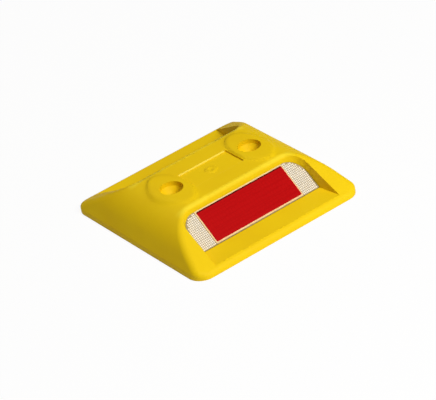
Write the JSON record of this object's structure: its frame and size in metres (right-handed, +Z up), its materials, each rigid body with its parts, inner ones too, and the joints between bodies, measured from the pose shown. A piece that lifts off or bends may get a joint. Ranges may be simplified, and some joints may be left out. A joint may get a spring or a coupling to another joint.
{
  "type": "reflective road stud",
  "caption": "Low yellow moulded road stud with rounded flanks, a prismatic reflector with a red sheet in a sloped pocket at each end, and countersunk screw holes through its flat top.",
  "frame": {"origin": "middle of the flat base, on the road surface", "axes": "+Z up, Y along the traffic with the pictured reflector facing -Y, X across the stud through both screw holes"},
  "size_m": [0.1, 0.102, 0.02],
  "materials": {
    "body_yellow": "moulded yellow plastic with a soft satin sheen",
    "lens_clear": "clear acrylic with fine prisms",
    "backing_white": "white moulded plastic",
    "bond_adhesive": "cured adhesive",
    "carrier_pale": "pale film",
    "sheet_red": "red retroreflective film"
  },
  "bodies": {
    "root": {"body_shell": "body_yellow", "front_lens": "lens_clear", "front_lens_backing": "backing_white", "front_lens_bond": "bond_adhesive", "front_sheet_carrier": "carrier_pale", "front_red_sheet": "sheet_red", "rear_lens": "lens_clear", "rear_lens_backing": "backing_white", "rear_lens_bond": "bond_adhesive", "rear_sheet_carrier": "carrier_pale", "rear_red_sheet": "sheet_red"}
  },
  "joints": []
}
